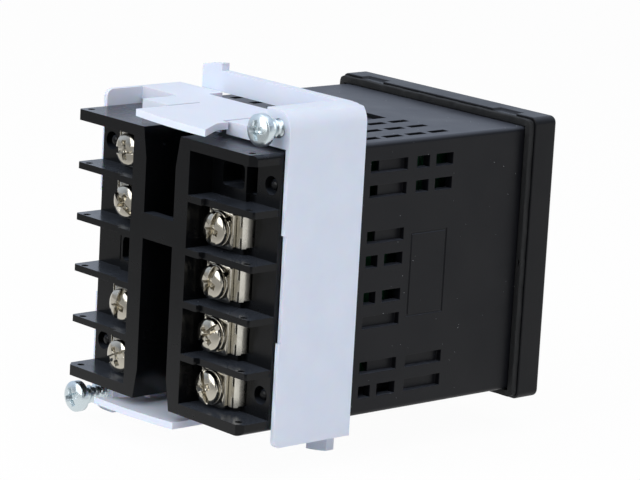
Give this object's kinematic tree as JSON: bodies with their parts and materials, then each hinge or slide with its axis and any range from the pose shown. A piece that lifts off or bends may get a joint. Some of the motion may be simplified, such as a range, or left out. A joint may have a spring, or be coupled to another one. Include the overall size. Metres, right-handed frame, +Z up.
{
  "type": "panel temperature controller",
  "caption": "Square panel-mount temperature controller with a deep vented black case, rear screw terminals in two columns and a white slide-on clamp bracket with its screws.",
  "frame": {"origin": "centre of the plane where the gasket meets the panel", "axes": "+Y is the way the case goes into the panel, from the front towards the terminals; +Z is up and +X is to the right for someone facing the front"},
  "size_m": [0.048, 0.0666, 0.0596],
  "materials": {
    "front_black": "fine matt moulded polycarbonate",
    "smoke_window": "clear smoked polycarbonate, glossy",
    "gasket_rubber": "black rubber sheet",
    "key_grey": "grey silicone rubber, satin",
    "display_face": "grey epoxy face of a seven segment display",
    "switch_black": "moulded nylon",
    "board_green": "green solder resist on glass epoxy",
    "case_black": "satin black ABS, lightly dusty",
    "block_black": "satin black glass filled polyester",
    "plate_nickel": "bright nickel plated steel",
    "nickel_steel": "bright nickel plated steel",
    "zinc_steel": "bluish zinc plated steel",
    "natural_nylon": "natural white nylon, slightly translucent",
    "relay_shell": "moulded relay shell",
    "ferrite": "taped ferrite transformer",
    "capacitor_sleeve": "shrunk PVC sleeve on an aluminium can",
    "chip_black": "moulded epoxy"
  },
  "bodies": {
    "controller": {"case": "case_black", "bezel": "front_black", "front_window": "smoke_window", "gasket": "gasket_rubber", "front_board": "board_green", "display_upper": "display_face", "display_lower": "display_face", "key_switches": "switch_black", "board_left": "board_green", "board_right": "board_green", "board_links": "switch_black", "relay": "relay_shell", "transformer": "ferrite", "capacitors": "capacitor_sleeve", "chips": "chip_black", "terminal_block": "block_black", "terminal_plates": "plate_nickel"},
    "bracket": {"bracket": "natural_nylon"},
    "clamp_screw_top": {"clamp_screw_top": "zinc_steel"},
    "clamp_screw_bottom": {"clamp_screw_bottom": "zinc_steel"},
    "key_mode": {"key_mode": "key_grey"},
    "key_left": {"key_left": "key_grey"},
    "key_down": {"key_down": "key_grey"},
    "key_up": {"key_up": "key_grey"},
    "terminal_1": {"terminal_screw_1": "nickel_steel", "terminal_washer_1": "nickel_steel"},
    "terminal_2": {"terminal_screw_2": "nickel_steel", "terminal_washer_2": "nickel_steel"},
    "terminal_3": {"terminal_screw_3": "nickel_steel", "terminal_washer_3": "nickel_steel"},
    "terminal_4": {"terminal_screw_4": "nickel_steel", "terminal_washer_4": "nickel_steel"},
    "terminal_5": {"terminal_screw_5": "nickel_steel", "terminal_washer_5": "nickel_steel"},
    "terminal_6": {"terminal_screw_6": "nickel_steel", "terminal_washer_6": "nickel_steel"},
    "terminal_7": {"terminal_screw_7": "nickel_steel", "terminal_washer_7": "nickel_steel"},
    "terminal_8": {"terminal_screw_8": "nickel_steel", "terminal_washer_8": "nickel_steel"}
  },
  "joints": [
    {"name": "bracket_slide", "type": "slide", "parent": "controller", "child": "bracket", "axis": [0, 1, 0], "range_m": [-0.032, 0.03]},
    {"name": "clamp_screw_top_run", "type": "slide", "parent": "bracket", "child": "clamp_screw_top", "axis": [0, 1, 0], "range_m": [-0.0029, 0.006]},
    {"name": "clamp_screw_bottom_run", "type": "slide", "parent": "bracket", "child": "clamp_screw_bottom", "axis": [0, 1, 0], "range_m": [-0.0046, 0.006]},
    {"name": "key_mode_press", "type": "slide", "parent": "controller", "child": "key_mode", "axis": [0, 1, 0], "range_m": [0, 0.0003], "stiffness_N_per_m": 2000, "springref_m": -0.0002},
    {"name": "key_left_press", "type": "slide", "parent": "controller", "child": "key_left", "axis": [0, 1, 0], "range_m": [0, 0.0003], "stiffness_N_per_m": 2000, "springref_m": -0.0002},
    {"name": "key_down_press", "type": "slide", "parent": "controller", "child": "key_down", "axis": [0, 1, 0], "range_m": [0, 0.0003], "stiffness_N_per_m": 2000, "springref_m": -0.0002},
    {"name": "key_up_press", "type": "slide", "parent": "controller", "child": "key_up", "axis": [0, 1, 0], "range_m": [0, 0.0003], "stiffness_N_per_m": 2000, "springref_m": -0.0002},
    {"name": "terminal_1_run", "type": "slide", "parent": "controller", "child": "terminal_1", "axis": [0, 1, 0], "range_m": [0, 0.003]},
    {"name": "terminal_2_run", "type": "slide", "parent": "controller", "child": "terminal_2", "axis": [0, 1, 0], "range_m": [0, 0.003]},
    {"name": "terminal_3_run", "type": "slide", "parent": "controller", "child": "terminal_3", "axis": [0, 1, 0], "range_m": [0, 0.003]},
    {"name": "terminal_4_run", "type": "slide", "parent": "controller", "child": "terminal_4", "axis": [0, 1, 0], "range_m": [0, 0.003]},
    {"name": "terminal_5_run", "type": "slide", "parent": "controller", "child": "terminal_5", "axis": [0, 1, 0], "range_m": [0, 0.003]},
    {"name": "terminal_6_run", "type": "slide", "parent": "controller", "child": "terminal_6", "axis": [0, 1, 0], "range_m": [0, 0.003]},
    {"name": "terminal_7_run", "type": "slide", "parent": "controller", "child": "terminal_7", "axis": [0, 1, 0], "range_m": [0, 0.003]},
    {"name": "terminal_8_run", "type": "slide", "parent": "controller", "child": "terminal_8", "axis": [0, 1, 0], "range_m": [0, 0.003]}
  ]
}
